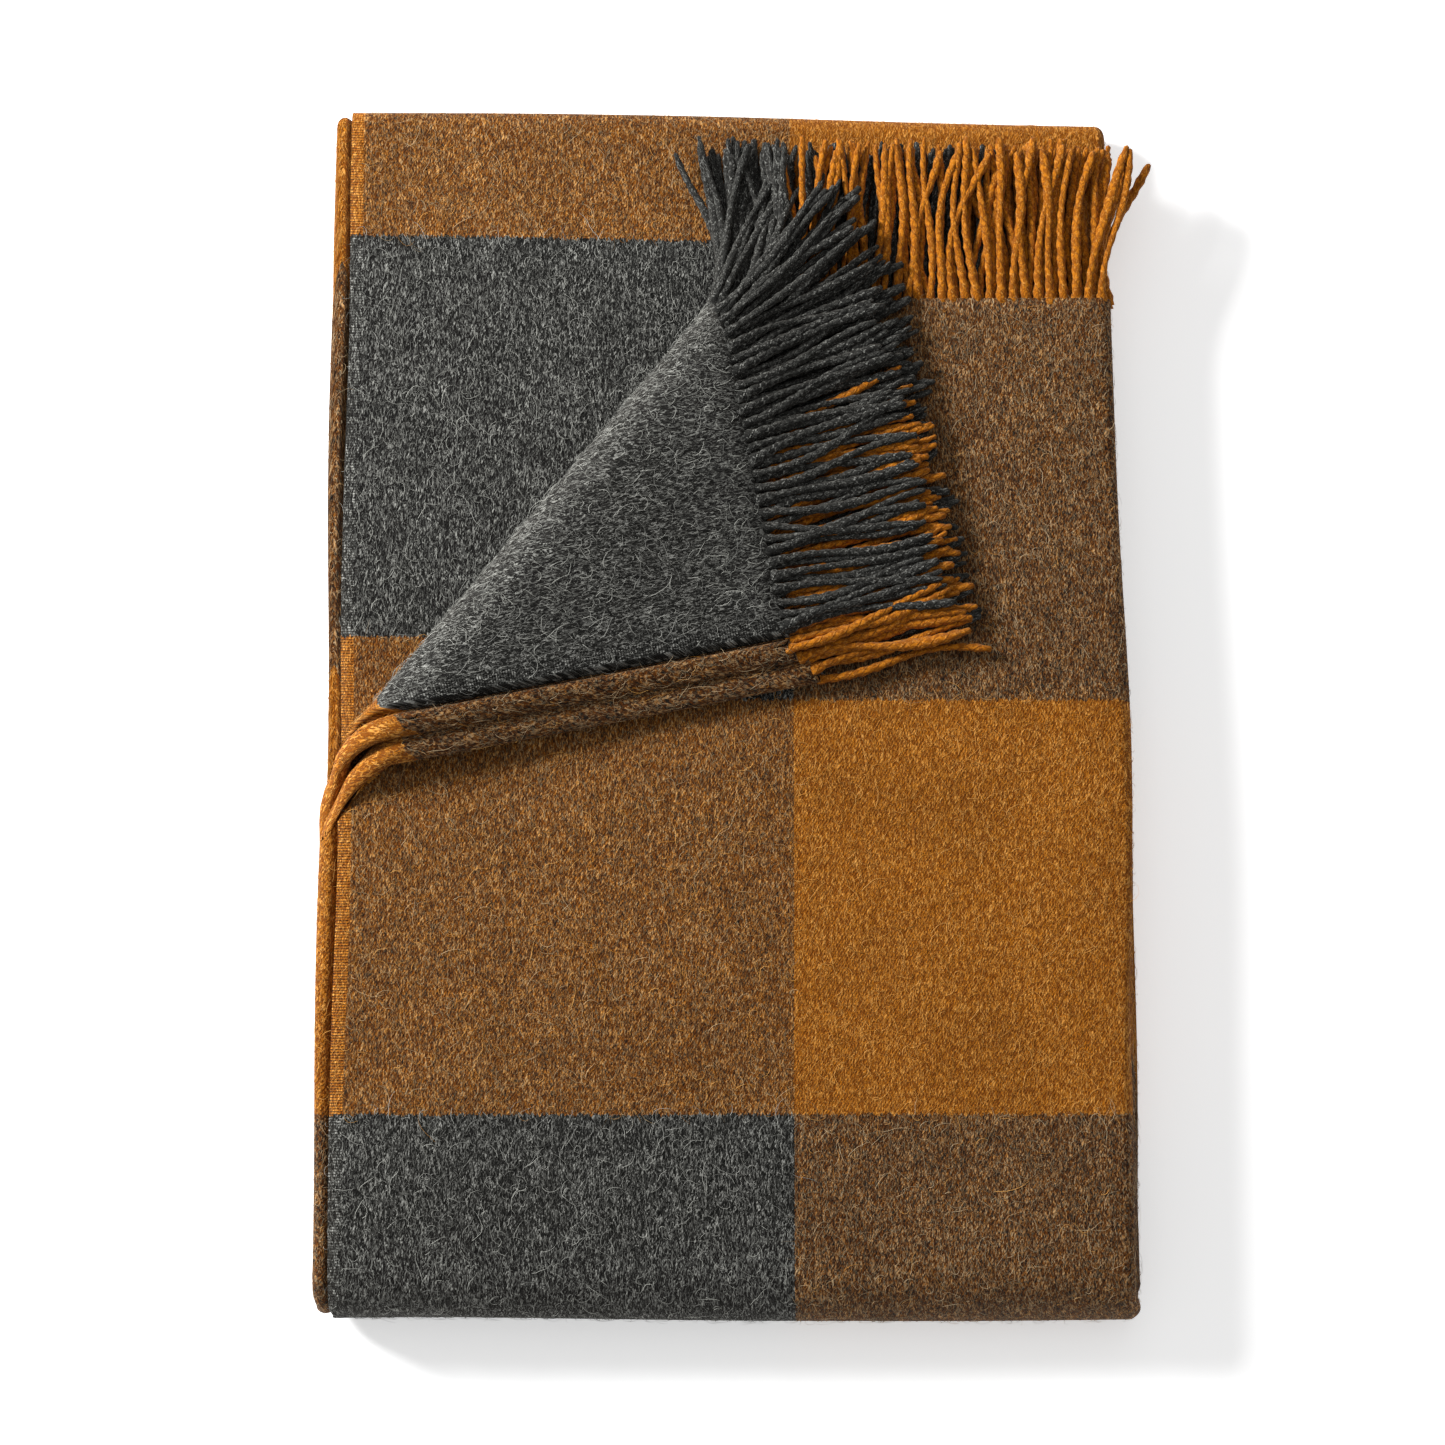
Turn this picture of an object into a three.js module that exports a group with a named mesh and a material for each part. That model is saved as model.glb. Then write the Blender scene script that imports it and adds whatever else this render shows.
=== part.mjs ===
// A wool throw, 1.30 m x 1.80 m, folded in four across its width and in four along its length,
// with the near corner of its two upper panels turned back over a diagonal crease.
// Millimetres, +Z up, origin at the middle of the underside. The fringed ends point along +Y.
import * as THREE from "three";

// Driving dimensions
const PACK_WIDTH = 322; // a quarter of the 1300 mm cloth, less what the side folds take
const PACK_LENGTH = 490; // the two lower panels, fold to fold
const FRINGED_END = 166; // Y of the woven end of the two upper panels
const FRINGE_LENGTH = 71;
const PLY_PITCH = 2.2; // one layer of brushed cloth in the pack
const CLEARANCE = 0.3; // between neighbouring solids
const PLY_THICKNESS = PLY_PITCH - CLEARANCE;
const PLIES_PER_PANEL = 4;
const PANEL_THICKNESS = PLIES_PER_PANEL * PLY_PITCH;
const CREASE_ANGLE = 50.5; // degrees from +X
const CREASE_POINT = new THREE.Vector2(-139.8, -12.5); // a point on the line that the corner hinges on
const CREASE_RELIEF = 0.5; // keeps the turned corner's square ends off the panel beside the crease
const PLY_STAGGER = 2; // how much further each lower ply of the corner reaches than the one above it
const ARC_STEPS = 14; // facets round half a fold

const left = -PACK_WIDTH / 2;
const right = PACK_WIDTH / 2;
const outerBendRadius = 2 * PANEL_THICKNESS;
const innerBendRadius = PANEL_THICKNESS;
const bottomBendY = -PACK_LENGTH / 2 + outerBendRadius;
const topBendY = PACK_LENGTH / 2 - innerBendRadius;
const halfPackZ = 2 * PANEL_THICKNESS;
const fullPackZ = 4 * PANEL_THICKNESS;

const angle = THREE.MathUtils.degToRad(CREASE_ANGLE);
const creaseDirection = new THREE.Vector2(Math.cos(angle), Math.sin(angle));

const MATERIALS = {
  mustard: new THREE.MeshStandardMaterial({ color: 0xb8741a, roughness: 0.95, metalness: 0 }),
  charcoal: new THREE.MeshStandardMaterial({ color: 0x3a3d3e, roughness: 0.95, metalness: 0 }),
  brown: new THREE.MeshStandardMaterial({ color: 0x6f4b22, roughness: 0.95, metalness: 0 }),
};

const throwBlanket = new THREE.Group();

function addPiece(name, geometry, material) {
  const mesh = new THREE.Mesh(geometry, material);
  mesh.name = name;
  throwBlanket.add(mesh);
  return mesh;
}

// A flat piece with the outline given, from z up by thickness.
function addLayer(name, outline, z, thickness, material) {
  const geometry = new THREE.ExtrudeGeometry(new THREE.Shape(outline), {
    depth: thickness,
    bevelEnabled: false,
  });
  addPiece(name, geometry, material).position.z = z;
}

// Where the crease line, moved sideways by offset, has the given x or y.
function creaseAtX(x, offset = 0) {
  const t = (x - CREASE_POINT.x + offset * creaseDirection.y) / creaseDirection.x;
  return CREASE_POINT.y + offset * creaseDirection.x + t * creaseDirection.y;
}

function creaseAtY(y, offset = 0) {
  const t = (y - CREASE_POINT.y - offset * creaseDirection.x) / creaseDirection.y;
  return CREASE_POINT.x - offset * creaseDirection.y + t * creaseDirection.x;
}

// The plies of a panel from bottom to top. Ply a has the outer selvedge and ply b the inner one.
const FACE_UP = ["d", "c", "b", "a"];
const FACE_DOWN = ["a", "b", "c", "d"];

// The four panels, bottom to top
function addFullPanel(name, level, plies) {
  const outline = [
    new THREE.Vector2(left, bottomBendY),
    new THREE.Vector2(right, bottomBendY),
    new THREE.Vector2(right, topBendY),
    new THREE.Vector2(left, topBendY),
  ];
  plies.forEach((ply, i) => {
    const z = (level * PLIES_PER_PANEL + i) * PLY_PITCH;
    addLayer(`${name}_ply_${ply}`, outline, z, PLY_THICKNESS, MATERIALS.brown);
  });
}

function addCutPanel(name, level, plies) {
  const outline = [
    new THREE.Vector2(left, bottomBendY),
    new THREE.Vector2(right, bottomBendY),
    new THREE.Vector2(right, FRINGED_END),
    new THREE.Vector2(creaseAtY(FRINGED_END, -CREASE_RELIEF), FRINGED_END),
    new THREE.Vector2(left, creaseAtX(left, -CREASE_RELIEF)),
  ];
  plies.forEach((ply, i) => {
    const z = (level * PLIES_PER_PANEL + i) * PLY_PITCH;
    addLayer(`${name}_ply_${ply}`, outline, z, PLY_THICKNESS, MATERIALS.brown);
  });
}

addFullPanel("bottom_panel", 0, FACE_DOWN);
addFullPanel("second_panel", 1, FACE_UP);
addCutPanel("third_panel", 2, FACE_DOWN);
addCutPanel("top_panel", 3, FACE_UP);

// Half-round folds: one nested layer of cloth for each ply, round a bend along X
function addBend(name, bendY, bendZ, outwards, firstLayer, plies) {
  plies.forEach((ply, i) => {
    const inner = (firstLayer + i) * PLY_PITCH + CLEARANCE / 2;
    const outer = inner + PLY_THICKNESS;
    const section = new THREE.Shape();
    section.absarc(0, 0, outer, -Math.PI / 2, Math.PI / 2, false);
    section.absarc(0, 0, inner, Math.PI / 2, -Math.PI / 2, true);
    const geometry = new THREE.ExtrudeGeometry(section, {
      depth: PACK_WIDTH,
      bevelEnabled: false,
      curveSegments: ARC_STEPS,
    });
    const across = new THREE.Vector3(0, outwards, 0);
    const up = new THREE.Vector3(0, 0, 1);
    geometry.applyMatrix4(
      new THREE.Matrix4().makeBasis(across, up, new THREE.Vector3(outwards, 0, 0)),
    );
    const start = outwards > 0 ? left : right;
    const z = bendZ - CLEARANCE / 2;
    addPiece(`${name}_ply_${ply}`, geometry, MATERIALS.brown)
      .position.set(start, bendY + outwards * CLEARANCE, z);
  });
}

const OUTWARD_PLIES = ["d", "c", "b", "a"];
const INWARD_PLIES = ["a", "b", "c", "d"];
addBend("top_fold", topBendY, innerBendRadius, 1, 0, OUTWARD_PLIES);
addBend("inner_fold", bottomBendY, halfPackZ, -1, 0, INWARD_PLIES);
addBend("outer_fold", bottomBendY, halfPackZ, -1, PLIES_PER_PANEL, OUTWARD_PLIES);

// The turned-back corner: eight plies, upside down, resting on the top panel
const cornerBottomZ = fullPackZ + CREASE_RELIEF;
const cornerPlies = [
  ...FACE_DOWN.map((ply) => `corner_top_panel_ply_${ply}`),
  ...FACE_UP.map((ply) => `corner_third_panel_ply_${ply}`),
];
const cornerTipTop = new THREE.Vector2(30, 29);

function cornerOutline(reach) {
  const tip = new THREE.Vector2(
    cornerTipTop.x + reach * creaseDirection.y,
    cornerTipTop.y - reach * creaseDirection.x,
  );
  return [
    new THREE.Vector2(left, creaseAtX(left)),
    tip,
    new THREE.Vector2(creaseAtY(FRINGED_END), FRINGED_END),
  ];
}

cornerPlies.forEach((name, i) => {
  const reach = PLY_STAGGER * (cornerPlies.length - 1 - i);
  addLayer(name, cornerOutline(reach), cornerBottomZ + i * PLY_PITCH, PLY_THICKNESS, MATERIALS.charcoal);
});

// Fringes: each panel's tassels as one plain slab, with the twisted cords' true reach
const fringeThickness = PANEL_THICKNESS - CLEARANCE;

function addStraightFringe(name, level, material) {
  const root = FRINGED_END + CLEARANCE;
  const start = creaseAtY(FRINGED_END) + CREASE_RELIEF;
  const outline = [
    new THREE.Vector2(start, root),
    new THREE.Vector2(right, root),
    new THREE.Vector2(right, root + FRINGE_LENGTH),
    new THREE.Vector2(start, root + FRINGE_LENGTH),
  ];
  addLayer(name, outline, level * PANEL_THICKNESS, fringeThickness, material);
}

addStraightFringe("third_panel_fringe", 2, MATERIALS.charcoal);
addStraightFringe("top_panel_fringe", 3, MATERIALS.mustard);

// The corner's fringe runs out past its edge, mirroring the straight fringe across the crease
const mirroredAngle = 2 * angle - Math.PI / 2;

function addCornerFringe(name, z, reach) {
  const [, tip, top] = cornerOutline(reach);
  const away = new THREE.Vector2(Math.cos(mirroredAngle), Math.sin(mirroredAngle));
  const tipRoot = tip.clone().addScaledVector(away, CLEARANCE);
  const topRoot = top.clone().addScaledVector(away, CLEARANCE);
  const points = [
    tipRoot,
    tipRoot.clone().addScaledVector(away, FRINGE_LENGTH),
    topRoot.clone().addScaledVector(away, FRINGE_LENGTH),
    topRoot,
  ];
  addLayer(name, points, z, fringeThickness, MATERIALS.charcoal);
}

const lowestPlyReach = PLY_STAGGER * (cornerPlies.length - 1);
addCornerFringe("corner_fringe_lower", cornerBottomZ, lowestPlyReach);
addCornerFringe("corner_fringe_upper", cornerBottomZ + PANEL_THICKNESS, lowestPlyReach);

export default throwBlanket;
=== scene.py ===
"""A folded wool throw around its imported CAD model.

One 1.30 x 1.80 m cloth folded in four each way, with a fringe.
"""
import math
import random

import bmesh
import bpy
import numpy as np
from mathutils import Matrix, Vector
from mathutils.bvhtree import BVHTree


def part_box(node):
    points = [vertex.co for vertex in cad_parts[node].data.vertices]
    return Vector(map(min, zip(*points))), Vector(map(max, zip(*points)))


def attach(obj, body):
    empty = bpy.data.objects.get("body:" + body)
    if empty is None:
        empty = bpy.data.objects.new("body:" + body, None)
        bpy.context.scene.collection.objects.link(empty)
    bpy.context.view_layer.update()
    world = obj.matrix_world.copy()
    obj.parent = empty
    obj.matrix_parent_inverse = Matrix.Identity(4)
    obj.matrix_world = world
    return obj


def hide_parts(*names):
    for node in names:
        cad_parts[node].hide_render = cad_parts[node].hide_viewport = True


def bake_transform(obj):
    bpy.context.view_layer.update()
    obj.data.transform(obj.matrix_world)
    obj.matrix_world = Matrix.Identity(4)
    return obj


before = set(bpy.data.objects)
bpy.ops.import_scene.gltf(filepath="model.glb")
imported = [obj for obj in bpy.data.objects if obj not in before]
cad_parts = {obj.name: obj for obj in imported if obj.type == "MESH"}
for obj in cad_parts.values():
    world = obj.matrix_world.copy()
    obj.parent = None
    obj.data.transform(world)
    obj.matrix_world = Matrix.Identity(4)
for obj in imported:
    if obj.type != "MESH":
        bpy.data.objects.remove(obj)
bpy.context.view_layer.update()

MM = 0.001
SEED = 7
random.seed(SEED)

# The cloth and its weave, in millimetres
CLOTH_WIDTH, CLOTH_LENGTH = 1300.0, 1800.0
COLUMNS, ROWS = 7, 11
PLY = 2.2
THICKNESS = 1.9
PANEL = 4 * PLY
FLAT_STEP = 7.0
ARC_STEPS = 12

# The pack, from the CAD frame
_top_low, _top_high = (Vector(c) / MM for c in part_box("top_panel_ply_a"))
_base_low, _base_high = (Vector(c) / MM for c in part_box("bottom_panel_ply_a"))
BEND_Y, TOP_Y = _base_low.y, _base_high.y
END_Y = _top_high.y - 3.0
HALF_Z, FULL_Z = 2 * PANEL, 4 * PANEL
SELVEDGE_A, SELVEDGE_B = -157.0, -156.0
LEFT_FOLD, RIGHT_FOLD, INNER_RIGHT_FOLD = -160.4, 156.5, 155.0
BULB_RADIUS = 2.4
BULB_FROM = -156.0

# The turned-back corner. The crease runs along CREASE from CREASE_AT,
# and d counts from it towards the corner.
CREASE_ANGLE = math.radians(50.5)
CREASE = np.array([math.cos(CREASE_ANGLE), math.sin(CREASE_ANGLE)])
ACROSS = np.array([-CREASE[1], CREASE[0]])
CREASE_AT = np.array([-132.1, -18.9])
ROLL_GAP = 1.0
ROLL_TAKES_INNER, ROLL_TAKES_OUTER = 25.0, 45.0
CORNER_SLIP = 6.0
PANEL_SLIP = 4.0
ROLL_LIFT = 3.5
ROLL_SLICES = 14

# What a hand-folded stack does: how far its side leans, its upper right narrows and its top fold turns
SIDE_LEAN = 6.0
TAPER = 6.5
OUT_OF_SQUARE = 0.0175

# The fringe. The cords of the straight ends are a little shorter than the rest.
FRINGE = 71.0
STRAIGHT_END_SHARE = 0.93
CORD_RANK_RISE = 2.25
CORD_PITCH = 5.2
CORD_RADIUS = 1.75
CORD_SIDES = 8
CORD_RINGS = 36
TWIST_PITCH = 12.0


# ---------------------------------------------------------------- folding
def across_path():
    """The cloth's path across its width in a face-up panel, and the distance along it.

    Each point is x, height, normal x and normal height.
    """
    points = []

    def flat(x0, x1, h, nh):
        for x in np.linspace(x0, x1, max(2, int(abs(x1 - x0) / FLAT_STEP) + 1)):
            points.append((x, h, 0.0, nh))

    def bend(x, h, radius, a0, a1, side):
        for a in np.linspace(a0, a1, ARC_STEPS + 1)[1:-1]:
            across, up = math.cos(a), math.sin(a)
            points.append((x + radius * across, h + radius * up, side * across, side * up))

    quarter = math.pi / 2
    flat(SELVEDGE_A, RIGHT_FOLD, 3.5 * PLY, 1)
    bend(RIGHT_FOLD, 2 * PLY, 1.5 * PLY, quarter, -quarter, 1)
    flat(RIGHT_FOLD, LEFT_FOLD, 0.5 * PLY, -1)
    bulb = 0.5 * PLY + BULB_RADIUS
    bend(LEFT_FOLD, bulb, BULB_RADIUS, -quarter, -3 * quarter, 1)
    fall = bulb + BULB_RADIUS - 1.5 * PLY
    for t in np.linspace(0, 1, 7)[:-1]:
        slope = fall * 6 * t * (1 - t) / (BULB_FROM - LEFT_FOLD)
        size = math.hypot(slope, 1)
        x = LEFT_FOLD + (BULB_FROM - LEFT_FOLD) * t
        points.append((x, bulb + BULB_RADIUS - fall * float(smooth(t)), slope / size, 1 / size))
    flat(BULB_FROM, INNER_RIGHT_FOLD, 1.5 * PLY, 1)
    bend(INNER_RIGHT_FOLD, 2 * PLY, 0.5 * PLY, -quarter, quarter, -1)
    flat(INNER_RIGHT_FOLD, SELVEDGE_B, 2.5 * PLY, -1)
    path = np.array(points)
    steps = np.hypot(np.diff(path[:, 0]), np.diff(path[:, 1]))
    distance = np.concatenate([[0], np.cumsum(steps)])
    return path, distance * CLOTH_WIDTH / distance[-1]


def along_stations():
    """Stations along the cloth: the stretch each is on, and how far through that stretch it is."""
    stations = []
    short, long = END_Y - BEND_Y, TOP_Y - BEND_Y
    for stretch, length in enumerate((short, 0, long, 0, long, 0, short)):
        count = int(length / FLAT_STEP) if length else ARC_STEPS + 2
        first = 0 if stretch == 0 else 1
        stations += [(stretch, i / count) for i in range(first, count + 1)]
    return stations


def lay_along(stretch, t, h):
    """Y, Z and the distance along the cloth for height h in the four-ply strip."""
    short, long = END_Y - BEND_Y, TOP_Y - BEND_Y
    turn = math.pi * t
    ends = [short, math.pi * (PANEL + h), long, math.pi * h, long, math.pi * (PANEL - h)]
    start = np.zeros_like(h) + sum(ends[:stretch])
    if stretch == 0:
        return np.full_like(h, END_Y - short * t), HALF_Z + PANEL + h, start + short * t
    if stretch == 1:
        radius = PANEL + h
        return BEND_Y - radius * math.sin(turn), HALF_Z + radius * math.cos(turn), start + radius * turn
    if stretch == 2:
        return np.full_like(h, BEND_Y + long * t), PANEL - h, start + long * t
    if stretch == 3:
        return TOP_Y + h * math.sin(turn), PANEL - h * math.cos(turn), start + h * turn
    if stretch == 4:
        return np.full_like(h, TOP_Y - long * t), PANEL + h, start + long * t
    if stretch == 5:
        radius = PANEL - h
        return BEND_Y - radius * math.sin(turn), HALF_Z - radius * math.cos(turn), start + radius * turn
    y = np.full_like(h, BEND_Y + short * t)
    return y, HALF_Z + PANEL - h, start + (CLOTH_LENGTH - start) * t


def beyond_crease(p):
    """How far each point is past the crease line, towards the corner."""
    return (p[:, :2] - CREASE_AT) @ ACROSS


def roll_takes(z):
    """The length of cloth that the roll over the crease takes up at height z in the flat pack."""
    depth = np.clip((FULL_Z - z) / HALF_Z, 0, 1)
    return ROLL_TAKES_INNER + (ROLL_TAKES_OUTER - ROLL_TAKES_INNER) * depth


def smooth(t):
    t = np.clip(t, 0, 1)
    return t * t * (3 - 2 * t)


def turn_corner(p):
    """Carries points of the two upper panels past the crease over the roll and back onto the pack."""
    d = beyond_crease(p)
    along = (p[:, :2] - CREASE_AT) @ CREASE
    takes = roll_takes(p[:, 2])
    share = np.clip(d / takes, 0, 1)
    turned = smooth(share)
    top_panel = (p[:, 2] > FULL_Z - PANEL).astype(float)
    radius = FULL_Z - p[:, 2] + ROLL_GAP
    out = np.where(d < takes, radius * np.sin(math.pi * share), -(d - takes))
    out = out - PANEL_SLIP * top_panel * turned
    flatten = 1 - 0.10 * smooth((d - takes) / 90)
    lift = ROLL_LIFT * turned * (1 - smooth((d - takes) / 80))
    z = FULL_Z + ROLL_GAP - radius * np.cos(math.pi * share) * flatten + lift
    along = along + CORNER_SLIP * turned
    flat = CREASE_AT + along[:, None] * CREASE + out[:, None] * ACROSS
    return np.where(d[:, None] > 0, np.column_stack([flat, z]), p)


def loosen(p):
    """Small shifts of a hand-folded stack: a top fold out of square, wandering edges and a soft top."""
    x, y, z = p[:, 0], p[:, 1], p[:, 2]
    level = z / FULL_Z
    lean = SIDE_LEAN * (0.5 - np.clip(level, 0, 1)) * smooth((x + 60) / 220) * smooth((250 - y) / 420)
    wander = 0.8 * np.sin(y / 61 + z / 4.1) + 0.45 * np.sin(y / 27 + z / 2.3 + 1.7)
    side = smooth((np.abs(x) - 60) / 100)
    taper = -TAPER * smooth((y + 60) / 230) * smooth((x + 20) / 150)
    dx = lean + taper + wander * side * np.clip(z / 6, 0.2, 1)
    out_of_square = (0.8 - OUT_OF_SQUARE * x) * smooth((y + 40) / 240) * (z < HALF_Z)
    dy = 0.8 * np.sin(x / 57 + z / 5.2) * smooth((np.abs(y) - 150) / 90) + out_of_square
    swell = 0.6 * np.sin(x / 47 + 0.4) * np.sin(y / 64 + 1.1) + 0.35 * np.sin((x + y) / 29 + 2.0)
    dz = swell * np.clip(level, 0, 1.6)
    return np.column_stack([x + dx, y + dy, z + dz])


# ---------------------------------------------------------------- the cloth mesh
def cloth_mesh():
    """The whole cloth as a closed thick sheet, folded but with its corner flat, its flat place as UV."""
    path, across = across_path()
    stations = along_stations()
    nu, nv = len(path), len(stations)
    verts, flats = [], []
    for side in (1, -1):
        x = path[:, 0] + side * THICKNESS / 2 * path[:, 2]
        h = path[:, 1] + side * THICKNESS / 2 * path[:, 3]
        for stretch, t in stations:
            y, z, v = lay_along(stretch, t, h)
            verts.append(np.column_stack([x, y, z]))
            flats.append(np.column_stack([across, v]))
    verts, flats = np.concatenate(verts), np.concatenate(flats) * MM
    grid = np.arange(2 * nv * nu).reshape(2, nv, nu)
    faces = []
    a, b = grid[0], grid[1]
    quads = np.stack([a[:-1, :-1], a[1:, :-1], a[1:, 1:], a[:-1, 1:]], -1).reshape(-1, 4)
    faces.append(quads)
    quads = np.stack([b[:-1, :-1], b[:-1, 1:], b[1:, 1:], b[1:, :-1]], -1).reshape(-1, 4)
    faces.append(quads)
    for k, flip in ((0, False), (-1, True)):
        rim_u = np.stack([a[:-1, k], b[:-1, k], b[1:, k], a[1:, k]], -1)
        rim_v = np.stack([a[k, 1:], b[k, 1:], b[k, :-1], a[k, :-1]], -1)
        faces += [r[:, ::-1] if flip else r for r in (rim_u, rim_v)]
    faces = np.concatenate(faces)
    mesh = bpy.data.meshes.new("cloth")
    mesh.from_pydata(verts.tolist(), [], faces.tolist())
    uv = mesh.uv_layers.new(name="cloth")
    loops = np.zeros(len(mesh.loops), np.int32)
    mesh.loops.foreach_get("vertex_index", loops)
    uv.data.foreach_set("uv", flats[loops].astype(np.float32).ravel())
    return mesh


def split_faces(whole, name, wanted, normals):
    """A new mesh of the wanted faces, its cuts closed, with the whole cloth's smooth normals."""
    bm = bmesh.new()
    bm.from_mesh(whole)
    source = bm.verts.layers.int.new("source")
    for v in bm.verts:
        v[source] = v.index
    bm.faces.ensure_lookup_table()
    bmesh.ops.delete(bm, geom=[f for f in bm.faces if not wanted[f.index]], context="FACES")
    bmesh.ops.holes_fill(bm, edges=[e for e in bm.edges if e.is_boundary], sides=0)
    bmesh.ops.triangulate(bm, faces=[f for f in bm.faces if len(f.verts) > 4])
    origin = [v[source] for v in bm.verts]
    mesh = bpy.data.meshes.new(name)
    bm.to_mesh(mesh)
    bm.free()
    mesh.attributes.remove(mesh.attributes["source"])
    piece_normals = normals[origin]
    mesh.polygons.foreach_set("use_smooth", [True] * len(mesh.polygons))
    mesh.normals_split_custom_set_from_vertices(piece_normals.tolist())
    return mesh


def shaped(mesh, turns):
    """Moves the cloth's points to where they lie, in metres, and gives its normals.

    turns marks the points that turn with the corner.
    """
    p = np.zeros(len(mesh.vertices) * 3, np.float32)
    mesh.vertices.foreach_get("co", p)
    p = p.reshape(-1, 3).astype(float)
    p = np.where(turns[:, None], turn_corner(p), p)
    mesh.vertices.foreach_set("co", (loosen(p) * MM).astype(np.float32).ravel())
    mesh.update()
    normals = np.zeros(len(mesh.vertices) * 3, np.float32)
    mesh.vertex_normals.foreach_get("vector", normals)
    return normals.reshape(-1, 3)


def add_object(name, mesh, material):
    ob = bpy.data.objects.new(name, mesh)
    bpy.context.scene.collection.objects.link(ob)
    mesh.materials.clear()
    mesh.materials.append(material)
    return ob


def cut_cloth():
    """The main cloth, the pieces of the roll over the crease by name, and the turned corner."""
    bm = bmesh.new()
    bm.from_mesh(cloth_mesh())

    def upper(f):
        c = f.calc_center_median()
        return c.z > HALF_Z and c.y > BEND_Y

    def slice_at(point, normal, keep):
        faces = [f for f in bm.faces if keep(f)]
        geom = faces + list({e for f in faces for e in f.edges}) + list({v for f in faces for v in f.verts})
        bmesh.ops.bisect_plane(bm, geom=geom, plane_co=point, plane_no=normal, dist=1e-5)

    axis = Vector((CREASE_AT[0], CREASE_AT[1], FULL_Z))
    normal = Vector((ACROSS[0], ACROSS[1], 0))
    slice_at(axis, normal, upper)

    def past(f):
        c = f.calc_center_median()
        return upper(f) and (c - axis).dot(normal) > 0

    deepening = (ROLL_TAKES_OUTER - ROLL_TAKES_INNER) / HALF_Z
    for j in range(1, ROLL_SLICES + 1):
        share = j / ROLL_SLICES
        plane = Vector((ACROSS[0], ACROSS[1], deepening * share)).normalized()
        slice_at(axis + normal * ROLL_TAKES_INNER * share, plane, past)
    bm.faces.index_update()
    centres = np.array([f.calc_center_median() for f in bm.faces])
    up = np.array([upper(f) for f in bm.faces])
    d = beyond_crease(centres)
    z = centres[:, 2]
    beyond = up & (d > 0)
    on_roll = beyond & (d < roll_takes(z))
    plies = {
        "third_panel_a": (0, HALF_Z + PLY),
        "third_panel_b": (HALF_Z + PLY, HALF_Z + 2 * PLY),
        "third_panel_cd": (HALF_Z + 2 * PLY, HALF_Z + 4 * PLY),
        "top_panel_cd": (HALF_Z + 4 * PLY, HALF_Z + 6 * PLY),
        "top_panel_b": (HALF_Z + 6 * PLY, HALF_Z + 7 * PLY),
        "top_panel_a": (HALF_Z + 7 * PLY, HALF_Z + 9 * PLY),
    }
    whole = bpy.data.meshes.new("whole")
    bm.verts.index_update()
    bm.to_mesh(whole)
    turns = np.zeros(len(bm.verts), bool)
    for f in bm.faces:
        if up[f.index]:
            turns[[v.index for v in f.verts]] = True
    bm.free()
    normals = shaped(whole, turns)
    main = split_faces(whole, "woven_throw", ~beyond, normals)
    roll, corner = {}, {}
    for n, (lo, hi) in plies.items():
        ply = (z >= lo) & (z < hi)
        roll[n] = split_faces(whole, n, on_roll & ply, normals)
        corner[n] = split_faces(whole, n, beyond & ~on_roll & ply, normals)
    return main, roll, corner, plies


# ---------------------------------------------------------------- materials
class Nodes:
    """Short ways to build a node tree."""

    def __init__(self, name):
        self.material = bpy.data.materials.new(name)
        self.material.use_nodes = True
        self.tree = self.material.node_tree
        self.shader = self.tree.nodes["Principled BSDF"]

    def put(self, socket, value):
        if isinstance(value, bpy.types.NodeSocket):
            self.tree.links.new(value, socket)
        elif isinstance(value, tuple) and socket.type == "RGBA":
            socket.default_value = (*value, 1.0)
        else:
            socket.default_value = value

    def math(self, operation, a, b=0.0, c=0.0, clamp=False):
        node = self.tree.nodes.new("ShaderNodeMath")
        node.operation, node.use_clamp = operation, clamp
        for socket, value in zip(node.inputs, (a, b, c)):
            self.put(socket, value)
        return node.outputs[0]

    def mix(self, factor, a, b, blend="MIX"):
        node = self.tree.nodes.new("ShaderNodeMix")
        node.data_type, node.blend_type = "RGBA", blend
        self.put(node.inputs[0], factor)
        self.put(node.inputs[6], a)
        self.put(node.inputs[7], b)
        return node.outputs[2]

    def uv(self, name):
        node = self.tree.nodes.new("ShaderNodeUVMap")
        node.uv_map = name
        return node.outputs[0]

    def split(self, vector):
        node = self.tree.nodes.new("ShaderNodeSeparateXYZ")
        self.put(node.inputs[0], vector)
        return node.outputs[0], node.outputs[1]

    def scaled(self, vector, x, y, turn=0.0):
        node = self.tree.nodes.new("ShaderNodeMapping")
        self.put(node.inputs["Vector"], vector)
        node.inputs["Rotation"].default_value = (0, 0, turn)
        node.inputs["Scale"].default_value = (x, y, 1)
        return node.outputs[0]

    def noise(self, vector, scale=1.0, detail=2.0, roughness=0.5, distortion=0.0):
        node = self.tree.nodes.new("ShaderNodeTexNoise")
        node.noise_dimensions = "2D"
        for name, value in (("Vector", vector), ("Scale", scale), ("Detail", detail),
                            ("Roughness", roughness), ("Distortion", distortion)):
            self.put(node.inputs[name], value)
        return node.outputs[0]

    def ramp(self, factor, low, high):
        """0 below low and 1 above high."""
        node = self.tree.nodes.new("ShaderNodeMapRange")
        node.interpolation_type = "SMOOTHSTEP"
        self.put(node.inputs[0], factor)
        node.inputs[1].default_value, node.inputs[2].default_value = low, high
        return node.outputs[0]

    def bump(self, height, strength, distance, normal=None):
        node = self.tree.nodes.new("ShaderNodeBump")
        node.inputs["Strength"].default_value = strength
        node.inputs["Distance"].default_value = distance
        self.put(node.inputs["Height"], height)
        if normal is not None:
            self.put(node.inputs["Normal"], normal)
        return node.outputs[0]


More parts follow.
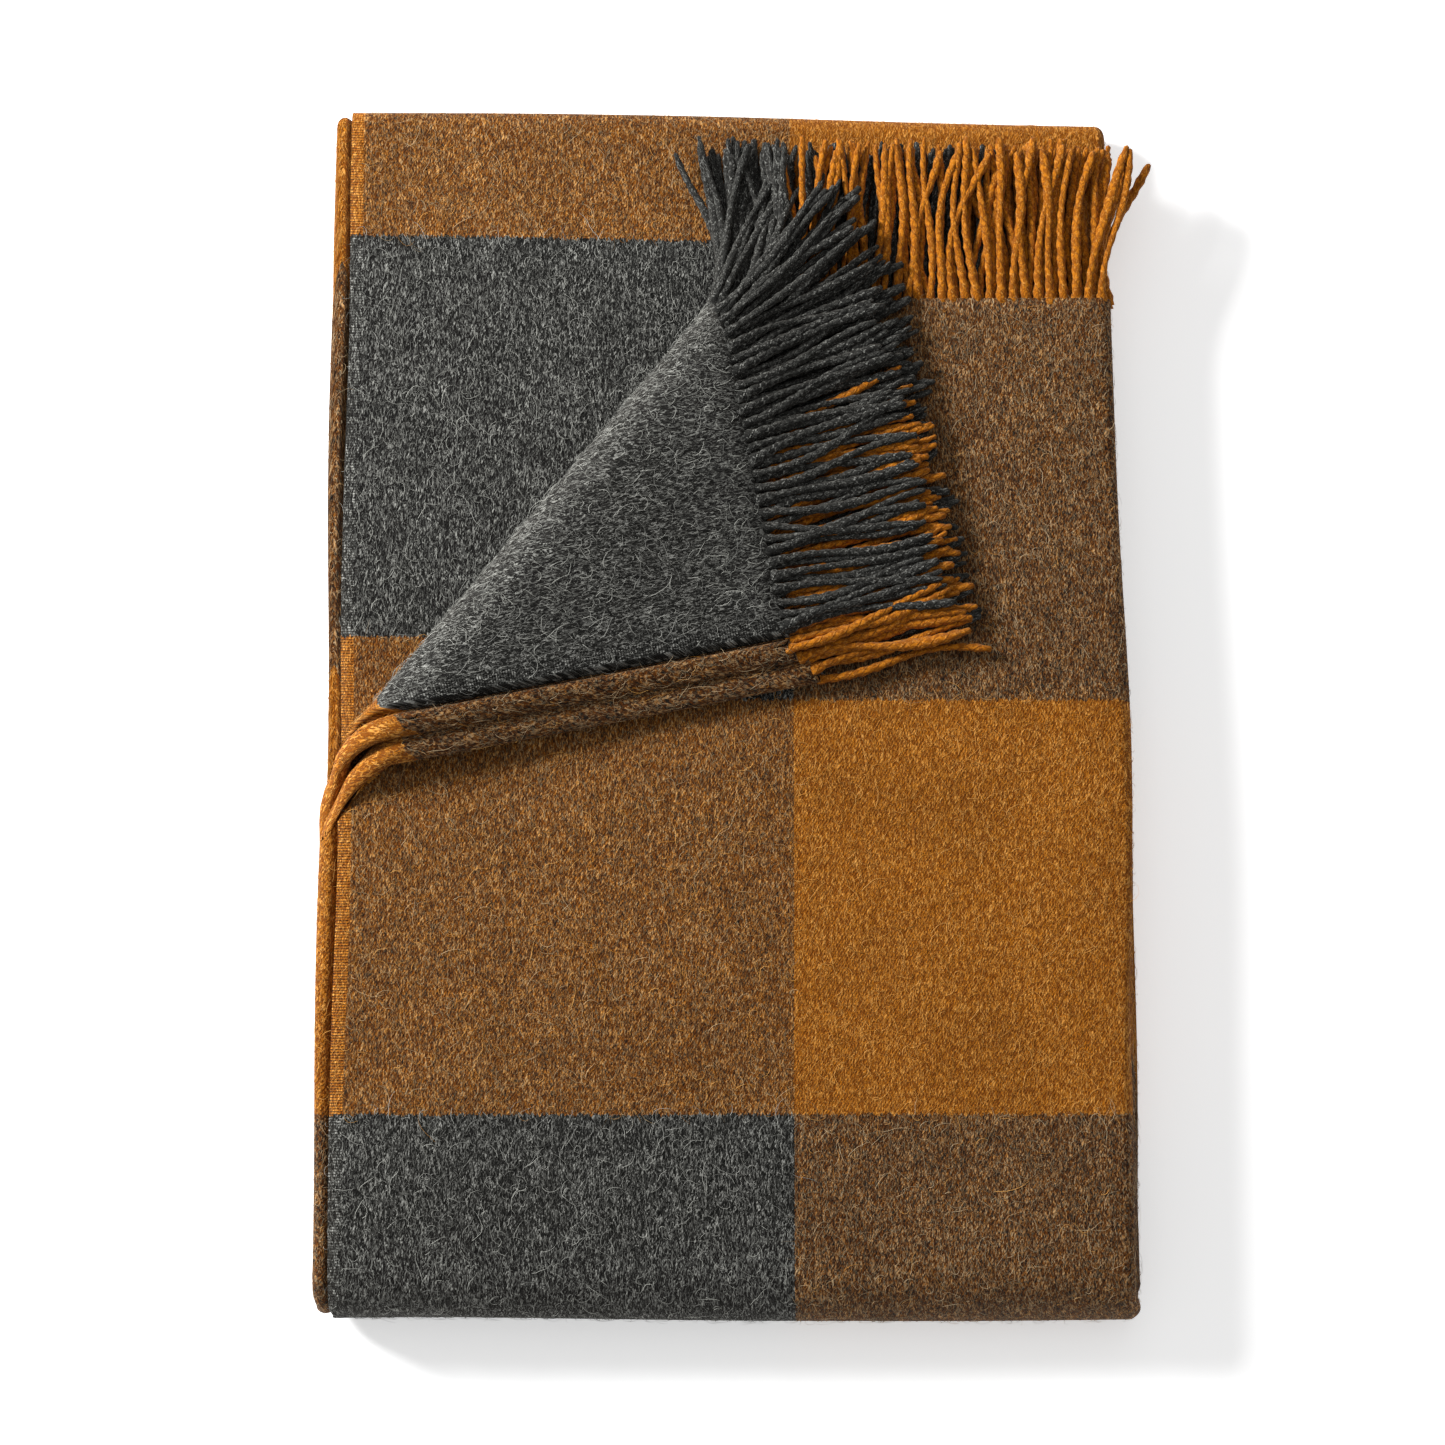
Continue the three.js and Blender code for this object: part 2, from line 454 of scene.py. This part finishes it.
# The two darkest colours are painted shade, for the hollows of the nap and the grooves of the cords.
GOLD = (0.455, 0.148, 0.0045)
PAINTED_SHADE_GOLD = (0.19, 0.050, 0.0015)
GREY = (0.030, 0.030, 0.0275)
PAINTED_SHADE_GREY = (0.0055, 0.0056, 0.0050)
WARM_GREY = (0.036, 0.029, 0.018)
FIBRE_ON_GOLD = (0.72, 0.34, 0.075)
FIBRE_ON_GREY = (0.36, 0.36, 0.33)
WARM_FIBRE = (0.42, 0.31, 0.18)
NAP_LEAN = 0.34
SELVEDGE = 5.0
WEFT_SHOWS, WARP_SHOWS = 0.47, 0.30


def odd_stripe(n, coordinate, pitch, wobble, last):
    """1 on every second stripe of the check, from 0 at the first, with an edge that wanders by wobble."""
    place = n.math("MAXIMUM", n.math("ADD", coordinate, wobble), 0.0)
    index = n.math("FLOOR", n.math("DIVIDE", n.math("MINIMUM", place, last), pitch))
    return n.math("PINGPONG", index, 1.0)


def wool_shader(n, colour, roughness_noise, normal):
    n.put(n.shader.inputs["Base Color"], colour)
    n.put(n.shader.inputs["Roughness"], n.math("MULTIPLY_ADD", roughness_noise, 0.12, 0.82))
    n.put(n.shader.inputs["Normal"], normal)
    n.shader.inputs["Specular IOR Level"].default_value = 0.12
    n.shader.inputs["Sheen Weight"].default_value = 0.07
    n.shader.inputs["Sheen Roughness"].default_value = 0.5
    n.shader.inputs["Sheen Tint"].default_value = (0.9, 0.8, 0.68, 1)


def gold_share(n, u, v, fray_across=0.0, fray=0.0):
    """How much of the face yarn is gold, and where the selvedge is.

    It is all, none, or a part where the warp and weft differ, and the weft's alone at selvedges.
    """
    warp = odd_stripe(n, u, CLOTH_WIDTH / COLUMNS * MM, fray_across, CLOTH_WIDTH * MM - 1e-4)
    weft = odd_stripe(n, v, CLOTH_LENGTH / ROWS * MM, fray, CLOTH_LENGTH * MM - 1e-4)
    middle = n.math("ABSOLUTE", n.math("SUBTRACT", u, CLOTH_WIDTH * MM / 2))
    edge = n.ramp(middle, (CLOTH_WIDTH / 2 - SELVEDGE - 0.6) * MM, (CLOTH_WIDTH / 2 - SELVEDGE) * MM)
    both = n.math("MULTIPLY", n.math("MULTIPLY", warp, weft), 1 - WEFT_SHOWS - WARP_SHOWS)
    one = n.math("ADD", n.math("MULTIPLY", weft, WEFT_SHOWS), n.math("MULTIPLY", warp, WARP_SHOWS))
    share = n.math("ADD", both, one)
    inside = n.math("MULTIPLY", share, n.math("SUBTRACT", 1.0, edge))
    return n.math("ADD", inside, n.math("MULTIPLY", weft, edge)), edge


def cloth_material():
    """Brushed 2/2 wool twill in a gold and charcoal check. The nap lies along the cloth's length."""
    n = Nodes("brushed_wool_twill")
    uv = n.uv("cloth")
    u, v = n.split(uv)
    fray = n.math("MULTIPLY_ADD", n.noise(n.scaled(uv, 900, 200), 1.0, 2.0), 0.0040, -0.0020)
    fray_across = n.math("MULTIPLY_ADD", n.noise(n.scaled(uv, 200, 700), 1.0, 2.0), 0.0012, -0.0006)
    share, edge = gold_share(n, u, v, fray_across, fray)
    # fine streaks of brushed wool, in three slightly crossed directions, and the yarns' own flecks
    streak_a = n.noise(n.scaled(uv, 1500, 430, 0.22), 1.0, 2.0, 0.6, 0.9)
    streak_b = n.noise(n.scaled(uv, 1350, 400, -0.5), 1.0, 2.0, 0.6, 0.9)
    streak_c = n.noise(n.scaled(uv, 1000, 380, 1.05), 1.0, 2.0, 0.6, 1.2)
    fleck = n.noise(n.scaled(uv, 1250, 700, 0.6), 1.0, 2.0, 0.6, 0.4)
    patch = n.noise(n.scaled(uv, 300, 120), 1.0, 3.0, 0.6, 0.3)
    shade = n.noise(n.scaled(uv, 26, 18), 1.0, 3.0, 0.6)
    mixed = n.math("MULTIPLY", n.math("MULTIPLY", share, n.math("SUBTRACT", 1.0, share)), 7.0)
    drift = n.math("MULTIPLY", n.math("SUBTRACT", patch, 0.5), 0.35)
    wander = n.math("ADD", n.math("SUBTRACT", fleck, 0.5), drift)
    gold = n.math("MULTIPLY_ADD", wander, mixed, share, clamp=True)
    # the diagonal twill lines, broken up by the nap
    twill = n.math("ADD", n.math("MULTIPLY", u, 4700.0), n.math("MULTIPLY", v, 3300.0))
    twill = n.math("SINE", n.math("ADD", twill, n.math("MULTIPLY", streak_c, 5.0)))
    # ribs across the selvedge, raised in the bump and also painted into the colour as light on their crests
    # and shade between them
    rib_relief_and_shade = n.math("MULTIPLY", n.math("SINE", n.math("MULTIPLY", v, 2 * math.pi / 0.0011)), edge)
    lit = n.math("MAXIMUM", n.ramp(streak_a, 0.58, 0.66), n.math("MAXIMUM", n.ramp(streak_b, 0.59, 0.67),
                 n.ramp(streak_c, 0.61, 0.69)))
    # painted shade: the low places among the streaks and along the twill lines are darkened, where the bump
    # also sinks them
    crossing = n.math("ADD", n.math("MULTIPLY", streak_b, 0.8), n.math("MULTIPLY", twill, 0.035))
    hollow = n.math("ADD", streak_a, crossing)
    nap_hollow_shade = n.ramp(hollow, 0.97, 0.82)
    warm = n.math("MULTIPLY", share, 3.0, clamp=True)
    base = n.mix(gold, n.mix(warm, GREY, WARM_GREY), GOLD)
    painted_shade_colour = n.mix(gold, PAINTED_SHADE_GREY, PAINTED_SHADE_GOLD)
    light = n.mix(gold, n.mix(warm, FIBRE_ON_GREY, WARM_FIBRE), FIBRE_ON_GOLD)
    brushed = n.math("MULTIPLY_ADD", patch, 1.5, -0.12, clamp=True)
    colour = n.mix(n.math("MULTIPLY", nap_hollow_shade, 0.95), base, painted_shade_colour)
    colour = n.mix(n.math("MULTIPLY", lit, brushed), colour, light)
    # a random tone, with painted light and shade along the selvedge ribs
    tone = n.math("ADD", n.math("MULTIPLY_ADD", shade, 0.50, 0.75), n.math("MULTIPLY", rib_relief_and_shade, 0.12))
    bright = n.tree.nodes.new("ShaderNodeHueSaturation")
    n.put(bright.inputs["Color"], colour)
    n.put(bright.inputs["Value"], tone)
    sunk = n.math("MULTIPLY_ADD", nap_hollow_shade, -0.7, n.math("MULTIPLY", twill, 0.12))
    height = n.math("ADD", n.math("MULTIPLY", lit, 0.7), sunk)
    # the nap lies along the cloth, so each face of the fold takes the light differently
    normal = n.bump(n.math("MULTIPLY", v, -NAP_LEAN), 1.0, 1.0)
    normal = n.bump(shade, 0.25, 0.0022, normal)
    normal = n.bump(n.math("ADD", height, n.math("MULTIPLY", rib_relief_and_shade, 0.5)), 0.8, 0.0005, normal)
    wool_shader(n, bright.outputs[0], patch, normal)
    return n.material


def cord_material():
    """Twisted fringe cord in the colour of the warp that it comes from."""
    n = Nodes("twisted_wool_cord")
    u, _ = n.split(n.uv("cloth"))
    gold = odd_stripe(n, u, CLOTH_WIDTH / COLUMNS * MM, 0.0, CLOTH_WIDTH * MM - 1e-4)
    cord = n.uv("cord")
    fuzz = n.noise(n.scaled(cord, 12, 700, 0.5), 1.0, 3.0, 0.65, 1.0)
    strands = n.noise(n.scaled(cord, 7, 380, -0.5), 1.0, 2.0, 0.6, 0.8)
    around, length = n.split(cord)
    turns = n.math("DIVIDE", length, TWIST_PITCH * MM / 2)
    twist = n.math("SUBTRACT", n.math("MULTIPLY", around, 2.0), turns)
    groove = n.math("ABSOLUTE", n.math("COSINE", n.math("MULTIPLY", twist, math.pi)))
    valley = n.ramp(groove, 0.38, 0.0)
    base = n.mix(gold, GREY, GOLD)
    painted_shade_colour = n.mix(gold, PAINTED_SHADE_GREY, PAINTED_SHADE_GOLD)
    light = n.mix(gold, FIBRE_ON_GREY, FIBRE_ON_GOLD)
    # painted shadow in the grooves between the twisted strands and among the strands' fibres
    shadow = n.math("MAXIMUM", n.math("MULTIPLY", valley, 0.9), n.ramp(strands, 0.60, 0.44))
    colour = n.mix(n.math("MULTIPLY", shadow, 0.8), base, painted_shade_colour)
    colour = n.mix(n.math("MULTIPLY", n.ramp(fuzz, 0.54, 0.68), 0.5), colour, light)
    grooved = n.math("SUBTRACT", strands, n.math("MULTIPLY", valley, 0.6))
    height = n.math("ADD", n.math("MULTIPLY", fuzz, 0.8), grooved)
    wool_shader(n, colour, fuzz, n.bump(height, 0.8, 0.0006))
    return n.material


def fibre_material():
    """Loose wool fibres, a paler tint of one of the two yarns beneath each one."""
    n = Nodes("loose_wool_fibre")
    uv = n.uv("cloth")
    u, v = n.split(uv)
    share, _ = gold_share(n, u, v)
    chance = n.noise(n.scaled(uv, 9000, 9000), 1.0, 0.0)
    gold = n.ramp(n.math("SUBTRACT", share, chance), -0.04, 0.04)
    tone = n.noise(n.scaled(uv, 7100, 7100, 0.7), 1.0, 0.0)
    warm = n.math("MULTIPLY", share, 3.0, clamp=True)
    pale = n.mix(gold, n.mix(warm, (0.40, 0.40, 0.36), (0.46, 0.33, 0.18)), (0.62, 0.32, 0.08))
    plain = n.mix(gold, n.mix(warm, (0.13, 0.13, 0.12), (0.17, 0.12, 0.06)), (0.38, 0.15, 0.012))
    colour = n.mix(n.ramp(tone, 0.35, 0.65), plain, pale)
    n.put(n.shader.inputs["Base Color"], colour)
    n.shader.inputs["Roughness"].default_value = 0.7
    n.shader.inputs["Specular IOR Level"].default_value = 0.2
    return n.material


# ---------------------------------------------------------------- loose fibres
FIBRE_STEPS = 6
FIBRE_SIDES = 3
STRAY = 1.1 * MM
FIBRE_LENGTHS = (2.5, 15)
FIBRE_RADII = (0.045, 0.090)
FIBRE_HEIGHTS = (0.15, 1.0)
PACK_FIBRES, CORNER_FIBRES, CREASE_FIBRES = 11500, 1300, 1000


def exposed_places(pieces, count, rng, tree):
    """Random places on the pieces' open faces: position, normal, the nap's direction and the cloth UV."""
    found = []
    for ob in pieces:
        mesh = ob.data
        mesh.calc_loop_triangles()
        size = len(mesh.loop_triangles)
        corners, loops, area = np.zeros(size * 3, np.int32), np.zeros(size * 3, np.int32), np.zeros(size)
        mesh.loop_triangles.foreach_get("vertices", corners)
        mesh.loop_triangles.foreach_get("loops", loops)
        mesh.loop_triangles.foreach_get("area", area)
        p = np.zeros(len(mesh.vertices) * 3)
        mesh.vertices.foreach_get("co", p)
        uv = np.zeros(len(mesh.loops) * 2)
        mesh.uv_layers["cloth"].data.foreach_get("uv", uv)
        corners, loops = corners.reshape(-1, 3), loops.reshape(-1, 3)
        found.append((p.reshape(-1, 3)[corners], uv.reshape(-1, 2)[loops], area))
    p, uv = (np.concatenate([f[k] for f in found]) for k in (0, 1))
    area = np.concatenate([f[2] for f in found])
    e1, e2, d1, d2 = p[:, 1] - p[:, 0], p[:, 2] - p[:, 0], uv[:, 1] - uv[:, 0], uv[:, 2] - uv[:, 0]
    spread = d1[:, 0] * d2[:, 1] - d2[:, 0] * d1[:, 1]
    normal = np.cross(e1, e2)
    normal /= np.linalg.norm(normal, axis=1)[:, None] + 1e-20
    usable = (np.abs(spread) > 1e-12) & (normal[:, 2] > -0.3)
    chance = np.where(usable, area, 0)
    safe = np.where(usable, spread, 1)[:, None]
    nap = (d1[:, :1] * e2 - d2[:, :1] * e1) / safe
    places = []
    while len(places) < count:
        picks = rng.choice(len(area), 4000, p=chance / chance.sum())
        for t, (a, b) in zip(picks, rng.random((4000, 2))):
            if a + b > 1:
                a, b = 1 - a, 1 - b
            spot = p[t, 0] + a * e1[t] + b * e2[t]
            if tree.ray_cast(Vector(spot + normal[t] * 3e-4), Vector(normal[t]), 0.03)[0] is None:
                places.append((spot, normal[t], nap[t], uv[t, 0] + a * d1[t] + b * d2[t]))
    return places[:count]


def add_fibres(name, pieces, count, seed, material, tree):
    """Loose curly fibres standing a little off the open cloth, as one mesh of thin closed tubes."""
    rng = np.random.default_rng(seed)
    places = exposed_places(pieces, count, rng, tree)
    place, normal, nap, uv = (np.array([q[k] for q in places]) for k in range(4))
    nap -= (nap * normal).sum(1)[:, None] * normal
    nap /= np.linalg.norm(nap, axis=1)[:, None] + 1e-20
    across = np.cross(normal, nap)
    length = rng.gamma(5.0, 1.35, count).clip(*FIBRE_LENGTHS) * MM
    facing = rng.normal(0, 0.65, count) + math.pi * rng.integers(0, 2, count)
    curl = rng.normal(0, 0.38, count)
    radius = rng.uniform(*FIBRE_RADII, count) * MM
    height = rng.uniform(*FIBRE_HEIGHTS, count) * MM
    middle = np.cos(facing + 3 * curl)[:, None] * nap + np.sin(facing + 3 * curl)[:, None] * across
    reach = place + middle * (length * 0.8)[:, None]
    strays = np.array([tree.find_nearest(Vector(q))[3] > STRAY for q in reach])
    length = np.where(strays, length.clip(0, 3 * MM), length)
    rings, here = [], place - normal * 1e-4
    for i in range(FIBRE_STEPS + 1):
        t = i / FIBRE_STEPS
        lift = height * math.sin(math.pi * min(1.0, t * 0.85 + 0.03))
        side = np.cross(normal, np.cos(facing)[:, None] * nap + np.sin(facing)[:, None] * across)
        thin = radius * (1 - 0.6 * t * t)
        for k in range(FIBRE_SIDES):
            a = 2 * math.pi * k / FIBRE_SIDES
            up, out = (lift + thin * math.sin(a))[:, None], (thin * math.cos(a))[:, None]
            rings.append(here + up * normal + out * side)
        step = length / FIBRE_STEPS
        here = here + step[:, None] * (np.cos(facing)[:, None] * nap + np.sin(facing)[:, None] * across)
        facing = facing + curl + rng.normal(0, 0.22, count)
    each = (FIBRE_STEPS + 1) * FIBRE_SIDES
    verts = np.stack(rings, 1).reshape(-1, 3)
    verts[:, 2] = np.maximum(verts[:, 2], 0.2 * MM)
    faces = []
    for i in range(FIBRE_STEPS):
        for k in range(FIBRE_SIDES):
            a, b = i * FIBRE_SIDES + k, i * FIBRE_SIDES + (k + 1) % FIBRE_SIDES
            faces.append([a, b, b + FIBRE_SIDES, a + FIBRE_SIDES])
    starts = (np.arange(count) * each)[:, None, None]
    quads = (np.array(faces)[None] + starts).reshape(-1, 4).tolist()
    ends = np.array([[2, 1, 0], [each - 3, each - 2, each - 1]])
    quads += (ends[None] + starts).reshape(-1, 3).tolist()
    mesh = bpy.data.meshes.new(name)
    mesh.from_pydata(verts.tolist(), [], quads)
    loops = np.zeros(len(mesh.loops), np.int32)
    mesh.loops.foreach_get("vertex_index", loops)
    layer = mesh.uv_layers.new(name="cloth")
    layer.data.foreach_set("uv", uv[loops // each].astype(np.float32).ravel())
    return add_object(name, mesh, material)


# ---------------------------------------------------------------- fringe
class Cords:
    """Twisted cords gathered into one mesh."""

    def __init__(self):
        self.verts, self.faces, self.cloth_uv, self.cord_uv = [], [], [], []

    def add(self, path, u, radius, phase):
        """A cord along the path, of two strands twisted together, with a blunt soft tip."""
        path = np.asarray(path)
        tangents = np.gradient(path, axis=0)
        tangents /= np.linalg.norm(tangents, axis=1)[:, None]
        level = np.cross(tangents, [0, 0, 1.0])
        level /= np.linalg.norm(level, axis=1)[:, None]
        upward = np.cross(level, tangents)
        steps = np.linalg.norm(np.diff(path, axis=0), axis=1)
        length = np.concatenate([[0], np.cumsum(steps)])
        share = length / length[-1]
        around = np.linspace(0, 2 * math.pi, CORD_SIDES, endpoint=False)
        tip = 1 - 0.35 * smooth((share - 0.93) / 0.07)
        size = radius * (0.92 + 0.16 * np.sin(length / 9 + phase)) * tip
        turned = 2 * math.pi * length[:, None] / TWIST_PITCH
        lobes = 1 + 0.15 * np.cos(2 * (around[None, :] - turned - phase))
        wide = 1 + 0.45 * (1 - smooth(share / 0.12))
        high = 1 - 0.45 * (1 - smooth(share / 0.10))
        ring = size[:, None] * lobes
        side = (ring * np.cos(around) * wide[:, None])[..., None] * level[:, None]
        rise = (ring * np.sin(around) * high[:, None])[..., None] * upward[:, None]
        points = path[:, None] + side + rise
        first = sum(len(v) for v in self.verts)
        rings = len(path)
        tips = np.array([path[0] - tangents[0] * 0.3, path[-1] + tangents[-1] * radius * 0.45])
        self.verts.append(np.concatenate([points.reshape(-1, 3), tips]))
        index = first + np.arange(rings * CORD_SIDES).reshape(rings, CORD_SIDES)
        after = np.roll(index, -1, axis=1)
        quads = np.stack([index[:-1], after[:-1], after[1:], index[1:]], -1).reshape(-1, 4)
        self.faces += quads.tolist()
        start, end = first + rings * CORD_SIDES, first + rings * CORD_SIDES + 1
        self.faces += [[start, after[0, k], index[0, k]] for k in range(CORD_SIDES)]
        self.faces += [[end, index[-1, k], after[-1, k]] for k in range(CORD_SIDES)]
        turn = np.tile((around - phase) / (2 * math.pi), rings)
        reach = np.repeat(length * MM, CORD_SIDES)
        reach = np.append(reach, [0, reach[-1]])
        self.cord_uv.append(np.column_stack([np.append(turn, [0, 0]), reach]))
        self.cloth_uv.append(np.full((len(turn) + 2, 2), [u * MM, 0]))

    def make(self, name, material):
        verts = np.concatenate(self.verts)
        mesh = bpy.data.meshes.new(name)
        mesh.from_pydata((loosen(verts) * MM).tolist(), [], self.faces)
        loops = np.zeros(len(mesh.loops), np.int32)
        mesh.loops.foreach_get("vertex_index", loops)
        for layer, values in (("cloth", self.cloth_uv), ("cord", self.cord_uv)):
            uv = mesh.uv_layers.new(name=layer)
            uv.data.foreach_set("uv", np.concatenate(values)[loops].astype(np.float32).ravel())
        mesh.polygons.foreach_set("use_smooth", [True] * len(mesh.polygons))
        return add_object(name, mesh, material)


def cord_path(root, heading, rise, rest, length, drift, wave, phase):
    """A cord that leaves the cloth along heading and comes down to its rest height, drifting to one side."""
    points = []
    place = np.array(root, float)
    step = length / (CORD_RINGS - 1)
    for i in range(CORD_RINGS):
        t = i / (CORD_RINGS - 1)
        points.append(place.copy())
        facing = heading + drift * t + wave * math.sin(phase + 5.5 * t)
        floor = rest(place)
        pull = (floor - place[2]) / length * (1.2 + 5.0 * t) * step
        lift = rise * step * max(0.0, 1 - 2.6 * t)
        place = place + np.array([math.cos(facing) * step, math.sin(facing) * step, pull + lift])
    return points


CLUMP_TURN = math.radians(6)


def ply_roots():
    """Each cord's place across the cloth: its ply, its x and height in a face-up panel, and u."""
    path, across = across_path()
    roots = []
    for i in range(int(CLOTH_WIDTH / CORD_PITCH)):
        u = (i + 0.5) * CORD_PITCH
        x, h = (float(np.interp(u, across, path[:, k])) for k in (0, 1))
        roots.append((min(3, int(h / PLY)), x, h, u))
    return roots


def corner_heading(share, closeness):
    """Which way a cord points, from the roll's underside, share 0, to the flat corner, share 1."""
    if share < 1:
        return math.radians(float(np.interp(share, [0, 0.5, 0.75, 1.0], [100, 86, 52, 30])))
    return math.radians(12 + 18 * closeness)


def make_fringes(material):
    """Five groups of cords: both upper panels' straight ends, their ends on the corner, and the crease."""
    names = ("top_panel_fringe", "third_panel_fringe", "corner_fringe_lower", "corner_fringe_upper",
             "crease_fringe")
    groups = {n: Cords() for n in names}
    rng = random.Random(SEED)
    for panel in ("top", "third"):
        for _, x, h, u in ply_roots():
            z = HALF_Z + PANEL + h if panel == "top" else HALF_Z + PANEL - h
            end = END_Y - 1.6 + 1.1 * math.sin(u * 0.33) * math.sin(u * 0.07)
            rank = (z - HALF_Z) / PLY
            flat_root = np.array([[x, end, z]])
            d = float(beyond_crease(flat_root)[0])
            clump = math.sin(u * 0.21 + rank) + 0.7 * math.sin(u * 0.083 + 2 * rank)
            drift = CLUMP_TURN * clump + rng.gauss(0, 0.11)
            wave, phase = rng.uniform(0.04, 0.20), rng.uniform(0, 2 * math.pi)
            length = FRINGE * rng.uniform(0.93, 1.03)
            radius = CORD_RADIUS * rng.uniform(0.88, 1.08)
            if d <= 0:
                level = HALF_Z + CORD_RADIUS + rank * CORD_RANK_RISE
                splay = -0.22 * float(smooth((x - 122) / 34)) * rng.uniform(0.3, 1.1)
                heading = math.pi / 2 + rng.gauss(0, 0.07)
                path = cord_path(flat_root[0], heading, 0, lambda p, level=level: level,
                                 length * STRAIGHT_END_SHARE, drift + splay, wave, phase)
                groups[f"{panel}_panel_fringe"].add(path, u, radius, phase)
                continue
            takes = float(roll_takes(z))
            share = min(1.0, d / takes)
            root = turn_corner(flat_root)[0]
            closeness = math.exp(-(d - takes) / 32) if share >= 1 else 1.0
            heading = corner_heading(share, closeness) + rng.gauss(0, 0.06 if share >= 1 else 0.13)
            depth = (FULL_Z - z) / HALF_Z
            rise = 0.25 * math.sin(math.pi * share) if share < 1 else 0.0

            def rest(p, share=share, depth=depth):
                past = float((p[:2] - CREASE_AT) @ ACROSS)
                floor = HALF_Z + HALF_Z * float(smooth((26 - past) / 22))
                spare = depth * (9.0 if share >= 1 else 13.0 * share)
                return floor + CORD_RADIUS + 0.5 + spare

            path = cord_path(root, heading, rise, rest, length, drift * 0.8, wave, phase)
            group = "corner_fringe_lower" if panel == "top" else "corner_fringe_upper"
            groups[group if share >= 1 else "crease_fringe"].add(path, u, radius, phase)
    return {name: cords.make(f"{name}_cords", material) for name, cords in groups.items()}


# ---------------------------------------------------------------- stage
FLOOR_SIZE, FLOOR_GLOW = 80, 0.45
SKY_LIGHT, SKY_SEEN = 0.33, 0.85


def add_stage():
    bpy.ops.mesh.primitive_plane_add(size=FLOOR_SIZE)
    floor = bpy.context.object
    floor.name = "floor"
    n = Nodes("pale_floor")
    n.put(n.shader.inputs["Base Color"], (0.93, 0.93, 0.93))
    n.shader.inputs["Roughness"].default_value = 0.9
    n.shader.inputs["Emission Color"].default_value = (1, 1, 1, 1)
    n.shader.inputs["Emission Strength"].default_value = FLOOR_GLOW
    floor.data.materials.append(n.material)


def add_light(name, place, size, power, aim=(0, 0, 0)):
    light = bpy.data.lights.new(name, "AREA")
    light.size, light.energy = size, power
    ob = bpy.data.objects.new(name, light)
    bpy.context.scene.collection.objects.link(ob)
    ob.location = place
    ob.rotation_euler = (Vector(aim) - Vector(place)).to_track_quat("-Z", "Y").to_euler()


def add_camera():
    """Nearly overhead, leaning a little towards the folded end."""
    lean, distance = math.radians(6.3), 1.20
    aim = Vector((-0.0035, -0.0080, 0.02))
    camera = bpy.data.cameras.new("camera")
    camera.lens, camera.sensor_width = 74.2, 36.0
    ob = bpy.data.objects.new("camera", camera)
    bpy.context.scene.collection.objects.link(ob)
    ob.location = aim + Vector((0, -math.sin(lean), math.cos(lean))) * distance
    ob.rotation_euler = (lean, 0, 0)
    bpy.context.scene.camera = ob


def set_light():
    """Soft light from the upper left. The camera sees a paler sky than the one that lights the throw."""
    world = bpy.data.worlds.new("studio")
    world.use_nodes = True
    tree = world.node_tree
    light_sky, seen_sky = tree.nodes["Background"], tree.nodes.new("ShaderNodeBackground")
    light_sky.inputs[1].default_value = SKY_LIGHT
    seen_sky.inputs[1].default_value = SKY_SEEN
    for sky in (light_sky, seen_sky):
        sky.inputs[0].default_value = (1, 1, 1, 1)
    rays, either = tree.nodes.new("ShaderNodeLightPath"), tree.nodes.new("ShaderNodeMixShader")
    tree.links.new(rays.outputs["Is Camera Ray"], either.inputs[0])
    tree.links.new(light_sky.outputs[0], either.inputs[1])
    tree.links.new(seen_sky.outputs[0], either.inputs[2])
    tree.links.new(either.outputs[0], tree.nodes["World Output"].inputs[0])
    bpy.context.scene.world = world
    bpy.context.scene.view_settings.view_transform = "Standard"
    add_light("key", (-1.25, 0.68, 0.82), 0.42, 50)
    add_light("fill", (0.0, 0.75, 1.6), 1.4, 4)


# ---------------------------------------------------------------- the object
def blend_over_roll(piece):
    """Fixes a piece of the roll over the crease in place, its transform baked into its mesh."""
    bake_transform(piece)


def surface_tree(objects):
    """One search tree over the faces of all the objects, at rest."""
    verts, faces = [], []
    for ob in objects:
        start = len(verts)
        verts += [v.co.copy() for v in ob.data.vertices]
        faces += [[start + i for i in f.vertices] for f in ob.data.polygons]
    return BVHTree.FromPolygons(verts, faces)


add_camera()
set_light()
add_stage()

wool = cloth_material()
cord_wool = cord_material()
main_mesh, roll_meshes, corner_meshes, ply_levels = cut_cloth()

throw = add_object("woven_throw", main_mesh, wool)
ROOT_PLIES = [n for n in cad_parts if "_ply_" in n and not n.startswith("corner_")]
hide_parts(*ROOT_PLIES)
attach(throw, "root")

corner_pieces, crease_pieces = [], []
for ply_name, mesh in corner_meshes.items():
    piece = add_object(f"corner_{ply_name}", mesh, wool)
    letters = ply_name.rsplit("_", 1)[1]
    panel_name = ply_name.rsplit("_", 1)[0]
    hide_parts(*[f"corner_{panel_name}_ply_{letter}" for letter in letters])
    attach(piece, "corner")
    corner_pieces.append(piece)

for ply_name, mesh in roll_meshes.items():
    piece = add_object(f"crease_{ply_name}", mesh, wool)
    blend_over_roll(piece)
    crease_pieces.append(piece)

fringes = make_fringes(cord_wool)
for node_name, piece in fringes.items():
    if node_name == "crease_fringe":
        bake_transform(piece)
        continue
    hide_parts(node_name)
    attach(piece, "corner" if node_name.startswith("corner") else "root")

cloth_tree = surface_tree((throw, *corner_pieces, *crease_pieces))
fibre_wool = fibre_material()
crease_top = [ob for ob in crease_pieces if ob.name == "crease_third_panel_a"]
fibre_groups = {
    "pack_fibres": ([throw], PACK_FIBRES, "root"),
    "corner_fibres": (corner_pieces, CORNER_FIBRES, "corner"),
    "crease_fibres": (crease_top, CREASE_FIBRES, None),
}
for k, (name, (pieces, count, body)) in enumerate(fibre_groups.items()):
    fibres = add_fibres(name, pieces, count, SEED + k, fibre_wool, cloth_tree)
    if body:
        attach(fibres, body)
    else:
        blend_over_roll(fibres)
